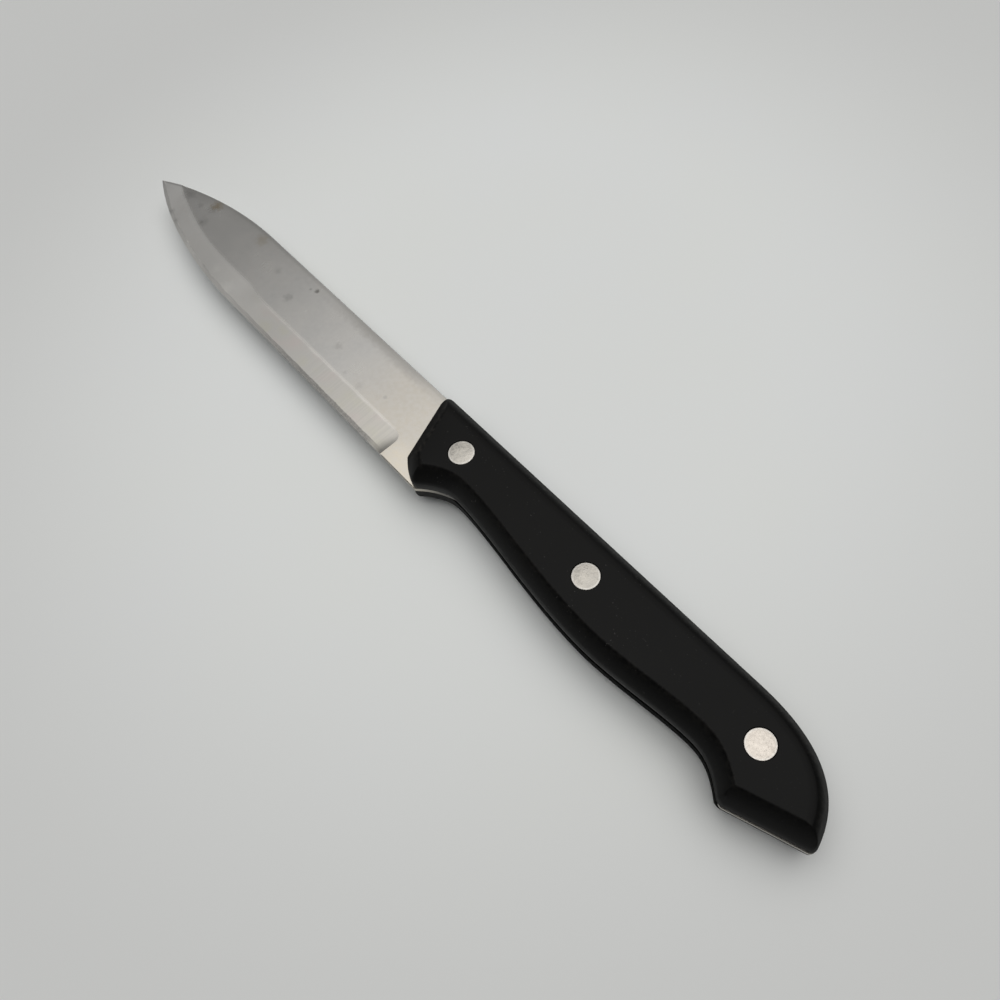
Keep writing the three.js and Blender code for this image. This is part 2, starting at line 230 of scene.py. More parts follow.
bm = bmesh.new()
bmesh.ops.create_grid(bm, x_segments=2, y_segments=2, size=TABLE_SIZE / 2)
bmesh.ops.translate(bm, vec=(0, 0, -TABLE_GAP), verts=bm.verts)
table_mesh = bpy.data.meshes.new("table")
bm.to_mesh(table_mesh)
bm.free()
table_mesh.materials.append(table_finish.material)
table = bpy.data.objects.new("table", table_mesh)
scene.collection.objects.link(table)
print("table:", TABLE_SIZE, "m across")

# %% Soft light overhead
LIGHT_LEAN = Vector((-0.035, 0.16, 1.0)).normalized()
LIGHT_FULL = math.radians(15)
LIGHT_ENDS = math.radians(53)
LIGHT_COLOUR = (1.79, 1.78, 1.74, 1)
SURROUND_COLOUR = (0.07, 0.072, 0.075, 1)
GLOW_SIDE = (-0.85, 0.53, 0)
GLOW_SPREAD = (0, 0.9)
GLOW_HEIGHT = (0.15, 0.5)
GLOW_COLOUR = (0.32, 0.325, 0.33, 1)

world = bpy.data.worlds.new("surround")
world.use_nodes = True
scene.world = world


class Surround(Finish):
    """The world's nodes, made with the same methods as a material's."""

    def __init__(self, tree):
        self.tree = tree
        self.shader = tree.nodes["Background"]


sky = Surround(world.node_tree)
heading_out = sky.node("TexCoord", out="Generated")
towards_light = sky.vector("DOT_PRODUCT", heading_out, {1: LIGHT_LEAN}, out="Value")
towards_glow = sky.vector("DOT_PRODUCT", heading_out, {1: GLOW_SIDE}, out="Value")
in_light = towards_light.rise(math.cos(LIGHT_ENDS), math.cos(LIGHT_FULL))
low_down = 1 - sky.part(heading_out, "Z").rise(*GLOW_HEIGHT)
room = sky.colour(towards_glow.rise(*GLOW_SPREAD) * low_down, SURROUND_COLOUR, GLOW_COLOUR)
sky.feed("Color", sky.colour(in_light, room, LIGHT_COLOUR))
print("light leans to", [round(part, 2) for part in LIGHT_LEAN])

# %% [markdown]
# ## The drawing frame
# The maker's drawing of this knife starts at the front corner of the handle: millimetres back along the
# handle, depth below the straight spine, and height above the middle plane of the steel, which both halves
# mirror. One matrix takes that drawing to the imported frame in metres.

# %% From the drawing to the frame
BLADE_LENGTH = 119.7
HANDLE_LENGTH = 121.2

blade_low, blade_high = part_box("blade")
scale_low, scale_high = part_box("upper_scale")
STEEL = (blade_high.z - blade_low.z) / MM
SCALE = (scale_high.z - scale_low.z) / MM
FACE = STEEL / 2 + SCALE
middle_height = (blade_low.z + blade_high.z) / 2
front_corner = Vector((blade_low.x + BLADE_LENGTH * MM, blade_high.y, middle_height))
TO_FRAME = Matrix.Translation(front_corner) @ Matrix.Scale(MM, 4)
print(f"steel {STEEL:.2f} mm, scale {SCALE:.2f} mm, front corner at {front_corner}")

# %% Small modelling helpers
def at(setback, depth):
    """A point of the drawing: millimetres behind the front corner and below the spine."""
    return Vector((setback, -depth))


def draw(bm, points, closed=True):
    """Draws a line of edges through points and returns them in order."""
    verts = [bm.verts.new(point) for point in points]
    ends = verts[1:] + verts[:1] if closed else verts[1:]
    return [bm.edges.new(pair) for pair in zip(verts, ends)]


def extrude(bm, edges):
    """Extrudes edges and returns the new vertices and the new edges between them."""
    grown = bmesh.ops.extrude_edge_only(bm, edges=edges)["geom"]
    verts = [item for item in grown if isinstance(item, bmesh.types.BMVert)]
    edges = [item for item in grown if isinstance(item, bmesh.types.BMEdge)]
    made = set(verts)
    return verts, [edge for edge in edges if made.issuperset(edge.verts)]


def smoothstep(value, low, high):
    share = min(max((value - low) / (high - low), 0), 1)
    return share * share * (3 - 2 * share)


print("the front corner of the drawing:", at(0, 0))

# %% Hand a piece over
SHARP = math.radians(28)


def finish_piece(bm, name, node, finish):
    """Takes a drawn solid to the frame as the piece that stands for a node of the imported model."""
    bmesh.ops.transform(bm, matrix=TO_FRAME, verts=bm.verts)
    bmesh.ops.recalc_face_normals(bm, faces=bm.faces)
    for face in bm.faces:
        face.smooth = True
    for edge in bm.edges:
        if edge.calc_face_angle(0) > SHARP:
            edge.smooth = False
    open_edges = sum(not edge.is_manifold for edge in bm.edges)
    mesh = bpy.data.meshes.new(name)
    bm.to_mesh(mesh)
    bm.free()
    mesh.materials.append(finish.material)
    piece = bpy.data.objects.new(name, mesh)
    scene.collection.objects.link(piece)
    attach(piece, "root")
    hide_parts(node)
    print(f"{name}: {len(mesh.polygons)} faces, {open_edges} open edges")


print("edges that turn more than", round(math.degrees(SHARP)), "degrees stay sharp")

# %% [markdown]
# ## The outline of the handle
# Seen from the side the handle has five sides: the belly that the fingers hold, the straight butt, the
# back, the raked front and the short slope of the heel. Each is a few smooth curves between the knots of
# the drawing. A side can be drawn in by any amount, and rounded corners join it to the next, so one
# description gives the tang and every height of the scales.

# %% Curves between knots
SWEEP_STEPS = 33


def heading(angle, length):
    return Vector((math.cos(math.radians(angle)), math.sin(math.radians(angle)))) * length


def sweep(start, leaves, start_pull, end, arrives, end_pull, steps=SWEEP_STEPS):
    """Points of a smooth curve between two knots, from its heading and its pull at each end."""
    first = start + heading(leaves, start_pull)
    last = end - heading(arrives, end_pull)
    curve = interpolate_bezier(start.to_3d(), first.to_3d(), last.to_3d(), end.to_3d(), steps)
    return [point.to_2d() for point in curve]


print("a curve has", SWEEP_STEPS, "points")

# %% Sides of the outline
class Side:
    """One side of the outline, the rounding at its far end, and how a scale draws in along it."""

    def __init__(self, end_radius, wall, width, draft, crease, curves):
        self.end_radius = end_radius
        self.wall, self.width, self.draft, self.crease = wall, width, draft, crease
        points = [curves[0][0]] + [point for curve in curves for point in curve[1:]]
        self.points = np.array(points)
        steps = np.linalg.norm(np.diff(self.points, axis=0), axis=1)
        self.marks = np.concatenate([[0], np.cumsum(steps)])
        self.length = float(self.marks[-1])
        self.slopes = np.gradient(self.points, self.marks, axis=0)

    def read(self, table, place):
        return Vector([np.interp(place, self.marks, column) for column in table.T])

    def along(self, place):
        return self.read(self.slopes, place).normalized()

    def point(self, place, inset):
        """The point at a length along the side, drawn in by `inset`. The ends go on straight."""
        held = min(max(place, 0), self.length)
        ahead = self.along(held)
        return self.read(self.points, held) + ahead * (place - held) + ahead.orthogonal() * inset

    def drawn_in(self, height):
        """How far the flank has come in at a height: a slope and an ellipse above a plain wall."""
        rise = max(0, height - self.wall) / (SCALE - self.wall)
        reach = (self.width - self.draft) / (1 - math.sqrt(1 - 1 / self.crease ** 2))
        return self.draft * rise + reach * (1 - math.sqrt(max(0, 1 - (rise / self.crease) ** 2)))


print("Side: a run of curves that can be drawn in")

# %% Knots and sides
BLADE_HEIGHT = 20.8
HEEL_SETBACK = 12.7

FRONT_TOP = at(0, 0)
FRONT_FOOT = at(6.6, 17.2)
HEEL = at(HEEL_SETBACK, BLADE_HEIGHT)
CHOIL = at(22.3, 16)
SWELL = at(65.2, 19.6)
WAIST = at(HANDLE_LENGTH - 28, 17.1)
HOOK = at(HANDLE_LENGTH - 17.2, 22)
BUTT_TIP = at(HANDLE_LENGTH, 15.9)
BACK_TOP = at(HANDLE_LENGTH - 26, 0)

belly = Side(
    end_radius=1.8, wall=2.5, width=3.0, draft=2.1, crease=1.1,
    curves=[
        sweep(HEEL, 43, 4.5, CHOIL, 0, 3.1),
        sweep(CHOIL, 0, 11.4, SWELL, 0, 16.5),
        sweep(SWELL, 0, 9.5, WAIST, 0, 7.5),
        sweep(WAIST, 0, 4.4, HOOK, -40, 4.6),
    ],
)
butt = Side(
    end_radius=1.0, wall=1.6, width=3.4, draft=2.2, crease=1.15,
    curves=[[HOOK, BUTT_TIP]],
)
back = Side(
    end_radius=2.1, wall=0.9, width=4.0, draft=0.0, crease=1.0,
    curves=[sweep(BUTT_TIP, 103.3, 8.6, BACK_TOP, 180, 18.2), [BACK_TOP, FRONT_TOP]],
)
front = Side(
    end_radius=2.0, wall=2.4, width=3.75, draft=2.2, crease=1.15,
    curves=[[FRONT_TOP, FRONT_FOOT]],
)
heel = Side(
    end_radius=1.6, wall=2.8, width=3.5, draft=2.0, crease=1.12,
    curves=[sweep(FRONT_FOOT, -42, 2.4, HEEL, -19, 2.4)],
)
SIDES = [belly, butt, back, front, heel]
print("side lengths:", [round(side.length, 1) for side in SIDES])

# %% Corners
CORNER_STEPS = 8
CROSSING_STEPS = 12
MITRE_RADIUS = 0.3


def corner(before, after, inset_before, inset_after):
    """Where two drawn-in sides stop, and the rounding that joins them."""
    reach_before = max(before.end_radius, inset_before + MITRE_RADIUS)
    reach_after = max(before.end_radius, inset_after + MITRE_RADIUS)
    stop, start = before.length, 0.0
    for _ in range(CROSSING_STEPS):
        came = before.along(min(stop, before.length))
        goes = after.along(max(start, 0))
        gap = after.point(start, reach_after) - before.point(stop, reach_before)
        spread = came.cross(goes)
        stop += gap.cross(goes) / spread
        start += gap.cross(came) / spread
    centre = before.point(stop, reach_before)
    out_before = -before.along(min(stop, before.length)).orthogonal()
    out_after = -after.along(max(start, 0)).orthogonal()
    first = math.atan2(out_before.y, out_before.x)
    turn = (math.atan2(out_after.y, out_after.x) - first) % math.tau
    arc = []
    for step in range(CORNER_STEPS + 1):
        share = step / CORNER_STEPS
        radius = (reach_before - inset_before) * (1 - share) + (reach_after - inset_after) * share
        arc.append(centre + heading(math.degrees(first + turn * share), radius))
    return stop, start, arc


print("the hook's corner starts at", corner(belly, butt, 0, 0)[2][0])

# %% Whole outlines
SPACING = 0.9
FEWEST_STEPS = 4


def outline(inset_of):
    """A closed outline as one list of points per side, each followed by the corner after it."""
    corners = []
    for before, after in zip(SIDES, SIDES[1:] + SIDES[:1]):
        corners.append(corner(before, after, inset_of(before, before.length), inset_of(after, 0)))
    runs = []
    for index, side in enumerate(SIDES):
        start = corners[index - 1][1]
        stop, _, arc = corners[index]
        count = max(FEWEST_STEPS, round(side.length / SPACING))
        places = [start + (stop - start) * step / count for step in range(1, count)]
        runs.append([side.point(place, inset_of(side, place)) for place in places] + arc)
    return runs


print("points per side:", [len(run) for run in outline(lambda side, place: 0.0)])

# %% [markdown]
# ## The black plastic
# The scales are moulded in black plastic with a fine satin texture. Close up it is not one black: it is
# greyer towards the blade, the texture breaks up the gloss and dust lies on it. Handling has rubbed the
# edges and polished the lip along the seam. On the lower scale below the seam, shade is painted in as a
# darker, duller band, and a small painted highlight sits on the hook's mitre. The colour stays very dark,
# and the roughness and the relief carry the look.

# %% Where the plastic is rubbed, and where shade is painted below the seam
LIP_SHINES = (1.0, 2.5)
LIP_DULLS = (94, 104)
SEAM_SHADE_RISES = (-4, -1.5)
SEAM_SHADE_STARTS = (24, 34)

plastic = Finish("satin_black_plastic", Specular_IOR_Level=0.11)
setback = plastic.part(plastic.place, "X") - front_corner.x / MM
above_middle = plastic.part(plastic.place, "Z") - front_corner.z / MM
on_upper = above_middle.rise(-STEEL / 2, STEEL / 2)
polish = on_upper * (1 - above_middle.rise(*LIP_SHINES)) * (1 - setback.rise(*LIP_DULLS))
# Painted shade: the lower scale just below the seam is darkened and made duller, where shade falls under the
# upper scale.
lower_seam_shade = (1 - on_upper) * above_middle.rise(*SEAM_SHADE_RISES) * setback.rise(*SEAM_SHADE_STARTS)
edge_wear = plastic.node("Attribute", {"attribute_name": "wear"}, out="Fac")
edge_wear = edge_wear * plastic.noise(0.9, detail=3).rise(0.4, 0.65)
print("lip polished up to", LIP_SHINES[1], "mm above the middle plane")

# %% Patterns of the plastic
DUST_THINS = (70, 95)
GLINT_PLACE = (104.0, -8.9, 10.8)
GLINT_STRETCH = (1.6, 0.6, 0.6)

texture = plastic.noise(0.16)
handled = plastic.noise(14, detail=4, roughness=0.6)
dust = plastic.noise(0.4, detail=1).rise(0.7, 0.75) * plastic.noise(3.0).rise(0.48, 0.62)
dust = dust * (1 - 0.7 * setback.rise(*DUST_THINS))
# A light spot on the hook's mitre: a painted highlight where the crease catches the light.
mitre_glint_gap = plastic.vector("SUBTRACT", plastic.place, {1: GLINT_PLACE})
mitre_glint_gap = plastic.vector("MULTIPLY", mitre_glint_gap, {1: GLINT_STRETCH})
mitre_glint_gap = plastic.vector("LENGTH", mitre_glint_gap, out="Value")
mitre_glint = 1 - (mitre_glint_gap + 0.4 * plastic.noise(0.3)).rise(0.3, 0.8)
print("scuff at", GLINT_PLACE, "mm")

# %% Black plastic
GREY_FADES = (40, 110)
TEXTURE_DEPTH = 0.012

greyed = 0.5 * handled + 0.5 * (1 - setback.rise(*GREY_FADES))
black = plastic.layers(
    plastic.colour(greyed, grey(0.0014, 0.02), grey(0.0036, 0.06)),
    # painted shade below the seam
    (lower_seam_shade, 0.9, grey(0.0006)),
    (edge_wear, 0.5, grey(0.017, 0.15)),
    # painted highlight on the hook's mitre
    (mitre_glint, 0.6, grey(0.045, 0.05)),
    (dust, 0.4, grey(0.09, 0.05)),
)
plastic.feed("Base Color", black)
grazing = plastic.node("LayerWeight", sockets={"Blend": 0.5}, out="Facing").rise(0.5, 0.95)
satin = 0.34 + 0.1 * handled + 0.06 * texture + 0.3 * grazing
plastic.feed("Roughness", satin + 0.3 * lower_seam_shade - 0.22 * polish)
plastic.feed("Normal", plastic.bump(texture, TEXTURE_DEPTH))
print("plastic:", len(plastic.tree.nodes), "nodes")

# %% [markdown]
# ## The handle scales
# Each scale is a moulded half with a flat face, flanks that curve in to it and a soft crease where they
# meet. It could be carved from a block, but the outline is already known at every height, so the scale is
# grown from the parting line up: the first outline is drawn once, extruded edge by edge, and each new ring
# is moved to its own outline. Three round seats with bores below them take the rivets.

# %% Rivet places and sizes
HEAD_RADIUS = 3.0
HEAD_THICKNESS = 1.5
HEAD_RECESS = 0.05
HEAD_FIT = 0.1
SEAT_RADIUS = HEAD_RADIUS + HEAD_FIT
SEAT_DEPTH = HEAD_RECESS + HEAD_THICKNESS
SHANK_RADIUS = 2.0
SHANK_FIT = 0.15
BORE_RADIUS = SHANK_RADIUS + SHANK_FIT
RIVETS = {
    "front": at(16.8, 8.9),
    "middle": at(57, 9.6),
    "rear": at(HANDLE_LENGTH - 18.7, 9.65),
}
print("rivets:", {place: tuple(round(part, 2) for part in centre) for place, centre in RIVETS.items()})

# %% Round holes
ROUND_STEPS = 56


def ring(bm, centre, radius, height):
    """A circle of edges in their order, for a hole."""
    place = Matrix.Translation(Vector((*centre, height)))
    made = bmesh.ops.create_circle(bm, segments=ROUND_STEPS, radius=radius, matrix=place)
    return list(dict.fromkeys(edge for vert in made["verts"] for edge in vert.link_edges))


def sink(bm, edges, centre, narrower, depth):
    """Extrudes a circle down by `depth` while its radius changes by the factor `narrower`."""
    verts, rim = extrude(bm, edges)
    to_centre = Matrix.Translation(-Vector((*centre, 0)))
    bmesh.ops.scale(bm, vec=(narrower, narrower, 1), space=to_centre, verts=verts)
    bmesh.ops.translate(bm, vec=(0, 0, -depth), verts=verts)
    return rim


print("round holes have", ROUND_STEPS, "edges")

# %% Heights of the flank
LEVELS = 16
LIP = 0.1
LIP_STEPS = ((0.7, 0.0), (0.2, 0.3))
CREASE_DROP = 0.25
CREASE_RUN = 0.35
CREASE_STEPS = 4


def flank(side):
    """The flank of a scale along one side: pairs of inset and height, from the parting line to the face."""
    top = SCALE - CREASE_DROP
    steps = [(LIP * inset, LIP * height) for inset, height in LIP_STEPS]
    for level in range(1, LEVELS + 1):
        height = LIP + (top - LIP) * math.sin(math.pi / 2 * level / LEVELS)
        steps.append((side.drawn_in(height), height))
    leaves = np.array(steps[-1])
    turns = np.array((side.drawn_in(SCALE), SCALE))
    lands = turns + (CREASE_RUN, 0)
    for step in range(1, CREASE_STEPS + 1):
        share = step / CREASE_STEPS
        steps.append(tuple(leaves * (1 - share) ** 2 + turns * 2 * share * (1 - share) + lands * share ** 2))
    return steps


FLANKS = {side: flank(side) for side in SIDES}
print("rings in a scale:", len(FLANKS[belly]))

# %% Wear along the edges
WEAR = {belly: 0.6, butt: 0.3, back: 1.4, front: 2.2, heel: 0.8}
WEAR_REACH = 1.6
CREASE_TURNS = FACE - CREASE_DROP / 2
BACK_DROP = 1.6
BACK_TURNS = FACE - BACK_DROP


def worn_away(side, height):
    """How far handling has worn a flank at a height: most along its crease, or round the turn of the back."""
    turns = BACK_TURNS if side is back else CREASE_TURNS
    return WEAR[side] * smoothstep(WEAR_REACH - abs(height - turns), 0, WEAR_REACH)


print("wear on the back:", [round(worn_away(back, height), 2) for height in (4, 5, 6, 7)])

# %% Grow the flanks
def ring_at(level):
    """The points of a scale's outline at a level, and the wear at each of them."""
    runs = outline(lambda side, _: FLANKS[side][level][0])
    height = STEEL / 2 + FLANKS[belly][level][1]
    points = [(*point, height) for run in runs for point in run]
    worn = [worn_away(side, height) for side, run in zip(SIDES, runs) for _ in run]
    return points, worn


def grow_flanks(bm):
    """Extrudes the flanks ring by ring and returns the edges of the first ring and of the last."""
    turn = bm.verts.layers.int.new("turn")
    wear = bm.verts.layers.float.new("wear")
    points, _ = ring_at(0)
    parting = edges = draw(bm, points)
    for index, vert in enumerate(bm.verts):
        vert[turn] = index
    last = len(FLANKS[belly]) - 1
    for level in range(1, last + 1):
        points, worn = ring_at(level)
        verts, edges = extrude(bm, edges)
        for vert in verts:
            vert.co = points[vert[turn]]
            vert[wear] = worn[vert[turn]] if level < last else 0.0
    return parting, edges


print("points in a ring:", len(ring_at(0)[0]))

# %% Mould the scales
SEAT_RIM = 0.07


def moulded_scale():
    """The upper scale, drawn above the middle plane of the steel."""
    bm = bmesh.new()
    parting, face = grow_flanks(bm)
    parting_edges, face_edges = list(parting), list(face)
    for centre in RIVETS.values():
        rim = ring(bm, centre, SEAT_RADIUS + SEAT_RIM, FACE)
        face_edges += rim
        wall = sink(bm, rim, centre, SEAT_RADIUS / (SEAT_RADIUS + SEAT_RIM), SEAT_RIM)
        floor = sink(bm, wall, centre, 1, SEAT_DEPTH - SEAT_RIM)
        bore = sink(bm, floor, centre, BORE_RADIUS / SEAT_RADIUS, 0)
        parting_edges += sink(bm, bore, centre, 1, SCALE - SEAT_DEPTH)
    for loop in (face_edges, parting_edges):
        bmesh.ops.triangle_fill(bm, use_beauty=True, edges=loop, normal=(0, 0, 1))
    return bm


finish_piece(moulded_scale(), "moulded_upper_scale", "upper_scale", plastic)
lower = moulded_scale()
bmesh.ops.scale(lower, vec=(1, 1, -1), verts=lower.verts)
finish_piece(lower, "moulded_lower_scale", "lower_scale", plastic)

# %% [markdown]
# ## The blade
# The blank is flat steel, ground on both sides to a bevel that stops at a rounded plunge in front of the
# handle, with a narrow honed edge. Cutting it out of a block with booleans would leave long ragged
# triangles on the grind, so half of the blank is drawn: the shoulder line is extruded down to the edge row
# by row, the flat is filled up to it, and the rims are extruded to the middle plane. A mirror makes the
# other half.

# %% Spine and edge
TIP_DEPTH = 9.9
SPINE_CURVE = 44.2
EDGE_CURVE = 54
EDGE_PULL = 22
TIP_PULL = 14
TIP_ANGLE = 28
EDGE_STEPS = 241

TIP = at(-BLADE_LENGTH, TIP_DEPTH)
SPINE_TURNS = SPINE_CURVE - BLADE_LENGTH
SPINE_RADIUS = (SPINE_CURVE ** 2 + TIP_DEPTH ** 2) / (2 * TIP_DEPTH)
EDGE_TURNS = EDGE_CURVE - BLADE_LENGTH


def spine(setback):
    """Height of the spine, which is straight and then curves down to the tip."""
    past = max(0, SPINE_TURNS - setback)
    return math.sqrt(SPINE_RADIUS ** 2 - past ** 2) - SPINE_RADIUS


edge_start = at(EDGE_TURNS, BLADE_HEIGHT)
edge_curve = sweep(edge_start, 180, EDGE_PULL, TIP, 180 - TIP_ANGLE, TIP_PULL, steps=EDGE_STEPS)
print("edge curve ends at", edge_curve[-1])

# %% Wedge of the grind
GRIND_AT_HEEL = 6.6
GRIND_AT_DIP = 6.1
GRIND_AT_WIDEST = 7.2
GRIND_AT_TIP = 6.0
DIP_ENDS = 59
WIDEST_STARTS = 67
NARROWS_OVER = 30
GRIND_EDGE_HALF = 0.2
RICASSO = 12.8
PLUNGE = HEEL_SETBACK - RICASSO
PLUNGE_RADIUS = 2.0


def blend(low, high, share):
    return low + (high - low) * share


def grind_height(setback):
    """Height of the bevel: it narrows to a dip, widens before the edge curves and narrows to the tip."""
    straight = blend(GRIND_AT_HEEL, GRIND_AT_DIP, min(max(-setback / DIP_ENDS, 0), 1))
    wide = blend(straight, GRIND_AT_WIDEST, smoothstep(-setback, DIP_ENDS, WIDEST_STARTS))
    return blend(wide, GRIND_AT_TIP, smoothstep(EDGE_TURNS - setback, 0, NARROWS_OVER))


def ground_half(setback, height):
    """Half the steel's thickness at a height on the bevel."""
    return blend(GRIND_EDGE_HALF, STEEL / 2, min(1, height / grind_height(setback)))


def plunge_at(height):
    """Where the bevel starts at a height: a straight line with a rounding under the shoulder."""
    over = max(0, height - grind_height(PLUNGE) + PLUNGE_RADIUS)
    return PLUNGE - PLUNGE_RADIUS + math.sqrt(max(0, PLUNGE_RADIUS ** 2 - over ** 2))


bevel_marks = (0, DIP_ENDS, WIDEST_STARTS, BLADE_LENGTH)
print("bevel heights:", [round(grind_height(-length), 2) for length in bevel_marks])

# %% Stations along the edge
WHEEL_RADIUS = 20.0
WHEEL_RUN_OUT = (0, 0.3, 0.7, 1.1, 1.6, 2.2, 3.0, 4.0)
FIRST_STEP = 0.8
STRAIGHT_STEP = 1.4
CURVE_STRIDE = 5

meets = next(i for i, p in enumerate(edge_curve) if spine(p.x) - p.y <= grind_height(p.x))
first_station = PLUNGE - PLUNGE_RADIUS - WHEEL_RUN_OUT[-1] - FIRST_STEP
straight_count = round((first_station - EDGE_TURNS) / STRAIGHT_STEP)
straight_places = np.linspace(first_station, EDGE_TURNS, straight_count, endpoint=False)
stations = [at(place, BLADE_HEIGHT) for place in straight_places]
stations += edge_curve[0:meets - 1:CURVE_STRIDE]
spine_station = len(WHEEL_RUN_OUT) + len(stations)
stations += [edge_curve[meets]] + edge_curve[meets + CURVE_STRIDE::CURVE_STRIDE]
print(len(stations), "stations, the shoulder meets the spine at", edge_curve[meets])

# %% Rows of the grind
ROWS = (0, 0.02, 0.06, 0.12, 0.2, 0.29, 0.38, 0.6, 0.8, 1)
HONE_ROW = len(ROWS) - 1
EDGE_ROW = len(ROWS)
HONE_HEIGHT = 1.1
HONE_GAP = 3.6
HONE_START = PLUNGE - HONE_GAP
HONE_FADE = (-1.2, 0.3)
HONE_WAVES = ((0.07, 0.83, 0), (0.05, 1.9, 1))
EDGE_HALF = 0.03
TIP_WIDTH = 0.12
PLUNGE_FOOT = at(PLUNGE, BLADE_HEIGHT)


def hone_waver(setback):
    """A hand-held stone leaves an edge bevel that is not quite even."""
    return sum(size * math.sin(pace * setback + start) for size, pace, start in HONE_WAVES)


def grind_point(column, row):
    """A point of the bevel, and its height above the edge."""
    run_out = column < len(WHEEL_RUN_OUT)
    foot = PLUNGE_FOOT if run_out else stations[column - len(WHEEL_RUN_OUT)]
    width = max(spine(foot.x) - foot.y, TIP_WIDTH)
    shoulder = min(grind_height(foot.x), width)
    hone = min(HONE_HEIGHT + hone_waver(foot.x), shoulder / 2)
    height = 0.0 if row == EDGE_ROW else blend(shoulder, hone, ROWS[row])
    setback = plunge_at(height) - WHEEL_RUN_OUT[column] if run_out else foot.x
    half = ground_half(foot.x, height)
    if row == EDGE_ROW:
        half = blend(half, EDGE_HALF, smoothstep(HONE_START - setback, *HONE_FADE))
    if run_out:
        cut = STEEL / 2 - half
        left = max(0, math.sqrt(2 * WHEEL_RADIUS * cut) - WHEEL_RUN_OUT[column])
        half += left ** 2 / (2 * WHEEL_RADIUS)
    return Vector((setback, foot.y + height, half)), height


columns = len(WHEEL_RUN_OUT) + len(stations)
print("grind:", columns, "columns by", EDGE_ROW + 1, "rows")

# %% Draw the grind
half_blade = bmesh.new()
column_of = half_blade.verts.layers.int.new("column")
row_of = half_blade.verts.layers.int.new("row")
height_of = half_blade.verts.layers.float.new("height")
is_ground = half_blade.faces.layers.int.new("ground")


def settle(vert, column, row):
    """Moves a vertex to its place on the grind and notes where on the grind it is."""
    vert.co, vert[height_of] = grind_point(column, row)
    vert[row_of] = row


shoulder_edges = draw(half_blade, [grind_point(column, 0)[0] for column in range(columns)], closed=False)
half_blade.verts.ensure_lookup_table()
for column, vert in enumerate(half_blade.verts):
    vert[column_of] = column
    settle(vert, column, 0)
row_edges = shoulder_edges
for row in range(1, EDGE_ROW + 1):
    verts, row_edges = extrude(half_blade, row_edges)
    for vert in verts:
        settle(vert, vert[column_of], row)
for face in half_blade.faces:
    face[is_ground] = 1
print("grind faces:", len(half_blade.faces))

# %% Draw the tang and the spine
TANG_RECESS = 0.4
TANG_RECESS_RUN = 13
TANG_PROUD = 0.15
SPINE_STEPS = 30
RIM_FADE = 0.6


def tang_inset(side, place):
    """The tang lies inside the scales at the belly, level at the guard and a little proud at the butt."""
    if side is belly:
        return TANG_RECESS * smoothstep(place, TANG_RECESS_RUN / 2, TANG_RECESS_RUN)
    return -TANG_PROUD if side is butt else 0.0


tang = outline(tang_inset)
tang_points = tang[0] + tang[1] + tang[2][:-CORNER_STEPS - 1]
spine_places = np.linspace(SPINE_TURNS, edge_curve[meets].x, SPINE_STEPS + 1)
spine_points = [Vector((place, spine(place))) for place in spine_places]
rim_points = [PLUNGE_FOOT, PLUNGE_FOOT + Vector((RIM_FADE, 0)), HEEL, *tang_points, *spine_points]
print("rim points:", len(rim_points))

# %% Draw the rim
RIM = 0.12
MERGE = 0.0005

rim_low = []
rim_high = []
last = len(rim_points) - 1
for index, point in enumerate(rim_points):
    ahead = rim_points[min(index + 1, last)] - rim_points[max(index - 1, 0)]
    drop = 0 if index in (0, last) else RIM
    inward = ahead.normalized().orthogonal() * drop
    rim_low.append(Vector((*point, STEEL / 2 - drop)))
    rim_high.append(Vector((*(point + inward), STEEL / 2)))
rim_low[-1] = rim_high[-1] = grind_point(spine_station, 0)[0]

rim_edges = draw(half_blade, rim_low, closed=False)
rim_verts = [edge.verts[0] for edge in rim_edges] + [rim_edges[-1].verts[1]]
for index, vert in enumerate(rim_verts):
    vert[column_of] = index
verts, _ = extrude(half_blade, rim_edges)
for vert in verts:
    vert.co = rim_high[vert[column_of]]

bmesh.ops.remove_doubles(half_blade, verts=half_blade.verts, dist=MERGE)
bmesh.ops.dissolve_degenerate(half_blade, dist=MERGE, edges=half_blade.edges)
print("half blade:", len(half_blade.faces), "faces before the flat")

# %% Fill the flat and mirror the half
FLAT_SLACK = 0.02


def round_the_flat(edge):
    """The edges that the flat has to be filled up to: open ones at full thickness."""
    return edge.is_boundary and all(vert.co.z > STEEL / 2 - FLAT_SLACK for vert in edge.verts)


flat_rim = [edge for edge in half_blade.edges if round_the_flat(edge)]
for centre in RIVETS.values():
    flat_rim += ring(half_blade, centre, BORE_RADIUS, STEEL / 2)
bmesh.ops.triangle_fill(half_blade, use_beauty=True, edges=flat_rim, normal=(0, 0, 1))
verts, _ = extrude(half_blade, [edge for edge in half_blade.edges if edge.is_boundary])
for vert in verts:
    vert.co.z = 0
everything = half_blade.verts[:] + half_blade.edges[:] + half_blade.faces[:]
bmesh.ops.mirror(half_blade, geom=everything, matrix=Matrix(), merge_dist=MERGE, axis="Z")
bmesh.ops.remove_doubles(half_blade, verts=half_blade.verts, dist=MERGE)
print("whole blade:", len(half_blade.faces), "faces")

# %% [markdown]
# ## The steel
# The blade is rolled stainless steel with a satin finish. The flats are quiet, with faint clouds and a few
# water stains from use; a darker strip along the spine and a dark line at its edge are painted shade. The
# ground bevel keeps the fine lines of the wheel, which run across the edge, and a faint sheen, and its tone
# is painted brighter towards the tip as a reflection. Its shoulder is a little rounded, and a painted
# highlight runs along it. The honed edge is a narrow band with an uneven border, painted brighter towards the
# tip as a reflection. Where the tang meets the scales its steel is painted in shade. Two UV maps in
# millimetres let the pattern follow the grind: one runs along the edge and up from it, and is below zero off
# the grind, and one gives the height above the shoulder. Each tone is laid down in coats, from the plain
# metal up.

